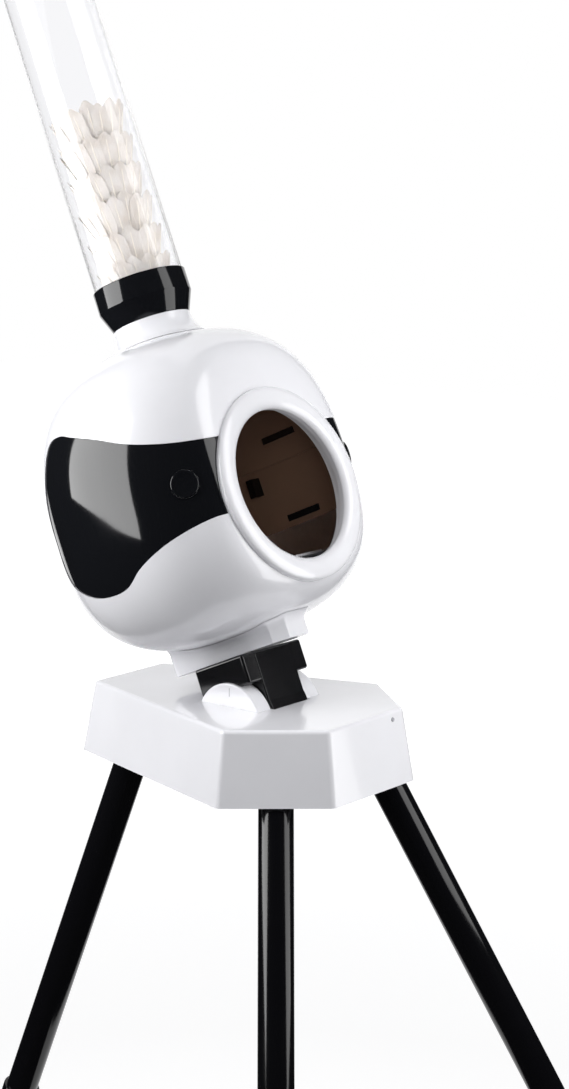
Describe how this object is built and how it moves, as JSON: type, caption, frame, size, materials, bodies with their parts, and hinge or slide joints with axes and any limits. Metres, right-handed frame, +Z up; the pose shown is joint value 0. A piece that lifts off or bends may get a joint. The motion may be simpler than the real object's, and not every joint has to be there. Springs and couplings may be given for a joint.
{
  "type": "shuttlecock machine",
  "caption": "Badminton shuttlecock launcher: rounded helmet-like head with a front port and a clear feed tube, tilting on a flat angular base with tubular legs.",
  "frame": {"origin": "on the floor, at the centre of the rectangle that the feet fill", "axes": "+Z up; -Y is the side that the port faces; +X is to the right of someone who looks along +Y at the port"},
  "size_m": [0.6132, 0.6642, 1.305],
  "materials": {
    "white_abs": "glossy white ABS",
    "black_gloss": "mirror-gloss black",
    "black_abs": "satin black moulding",
    "black_rubber": "matt black rubber",
    "clear_plastic": "clear extruded tube",
    "feather": "white feather skirts with pale corks",
    "brown_liner": "dark brown satin moulding",
    "steel": "plated steel",
    "pan_metal": "pressed bare aluminium",
    "leg_paint": "gloss black paint on steel tube",
    "grey_nylon": "grey nylon",
    "circuit_green": "green circuit board",
    "battery_wrap": "blue shrink wrap",
    "led_lens": "clear grey lens"
  },
  "bodies": {
    "stand": {"base_shell": "white_abs", "base_plate": "black_abs", "leg_socket_front_left": "black_abs", "leg_socket_front_right": "black_abs", "leg_socket_rear": "black_abs", "leg_upper_front_left": "leg_paint", "leg_upper_front_right": "leg_paint", "leg_upper_rear": "leg_paint", "leg_lower_front_left": "leg_paint", "leg_lower_front_right": "leg_paint", "leg_lower_rear": "leg_paint", "leg_foot_front_left": "black_rubber", "leg_foot_front_right": "black_rubber", "leg_foot_rear": "black_rubber", "tilt_yoke": "white_abs", "pivot_bolt": "steel", "pivot_nut": "steel", "battery_box": "black_abs", "battery_pack": "battery_wrap", "control_board": "circuit_green", "switch_bezel": "black_abs", "dial_control": "steel", "power_light": "led_lens"},
    "head": {"head_foot": "white_abs", "tilt_bracket": "black_abs", "front_shell": "white_abs", "rear_shell": "white_abs", "visor_left": "black_gloss", "visor_right": "black_gloss", "visor_cap_left": "black_gloss", "visor_cap_right": "black_gloss", "port_ring": "white_abs", "neck": "white_abs", "tube_collar": "black_gloss", "gate_servo": "black_abs", "chamber_liner": "brown_liner", "chamber_ceiling": "brown_liner", "launch_pan": "pan_metal", "cork_mat": "black_rubber", "catch_left_upper": "black_abs", "catch_left_lower": "black_abs", "catch_right_upper": "black_abs", "catch_right_lower": "black_abs", "shuttle_sensor": "black_abs", "striker_bracket": "steel", "striker_motor": "steel", "motor_cradle": "black_abs"},
    "tube": {"magazine_tube": "clear_plastic"},
    "shuttle_stack": {"shuttlecocks": "feather"},
    "gate": {"feed_gate": "grey_nylon"},
    "striker": {"striker_paddle": "grey_nylon", "striker_pad": "black_rubber", "striker_shaft": "steel", "striker_gear": "grey_nylon"},
    "pinion": {"motor_pinion": "steel"},
    "knob": {"speed_knob": "black_abs"},
    "rocker": {"switch_rocker": "black_gloss"},
    "door": {"battery_door": "black_abs"}
  },
  "joints": [
    {"name": "head_tilt", "type": "hinge", "parent": "stand", "child": "head", "pos_m": [0, -0.06151, 0.605], "axis": [1, 0, 0], "range_deg": [0, 20]},
    {"name": "tube_lift", "type": "slide", "parent": "head", "child": "tube", "axis": [0, 0.3907, 0.9205], "range_m": [0, 0.018]},
    {"name": "shuttle_lift", "type": "slide", "parent": "head", "child": "shuttle_stack", "axis": [0, 0.3907, 0.9205], "range_m": [0, 0.436]},
    {"name": "gate_swing", "type": "hinge", "parent": "head", "child": "gate", "pos_m": [0.047, 0.03997, 0.88631], "axis": [0, 0.3907, 0.9205], "range_deg": [0, 60]},
    {"name": "striker_swing", "type": "hinge", "parent": "head", "child": "striker", "pos_m": [0, 0.03804, 0.71157], "axis": [1, 0, 0], "range_deg": [0, 55]},
    {"name": "pinion_spin", "type": "hinge", "parent": "head", "child": "pinion", "pos_m": [0, 0.06013, 0.7022], "axis": [1, 0, 0], "range_deg": [-168, 3]},
    {"name": "knob_turn", "type": "hinge", "parent": "stand", "child": "knob", "pos_m": [0.0265, 0.08838, 0.595], "axis": [0, 0.9887, 0.15], "range_deg": [-135, 135]},
    {"name": "power_rock", "type": "hinge", "parent": "stand", "child": "rocker", "pos_m": [-0.0265, 0.08838, 0.595], "axis": [0, -0.15, 0.9887], "range_deg": [0, 16]},
    {"name": "battery_door_swing", "type": "hinge", "parent": "stand", "child": "door", "pos_m": [0, 0.02784, 0.56835], "axis": [1, 0, 0], "range_deg": [0, 90]}
  ],
  "couplings": [
    {"joint": "pinion_spin", "follows": "striker_swing", "ratio": -3}
  ]
}
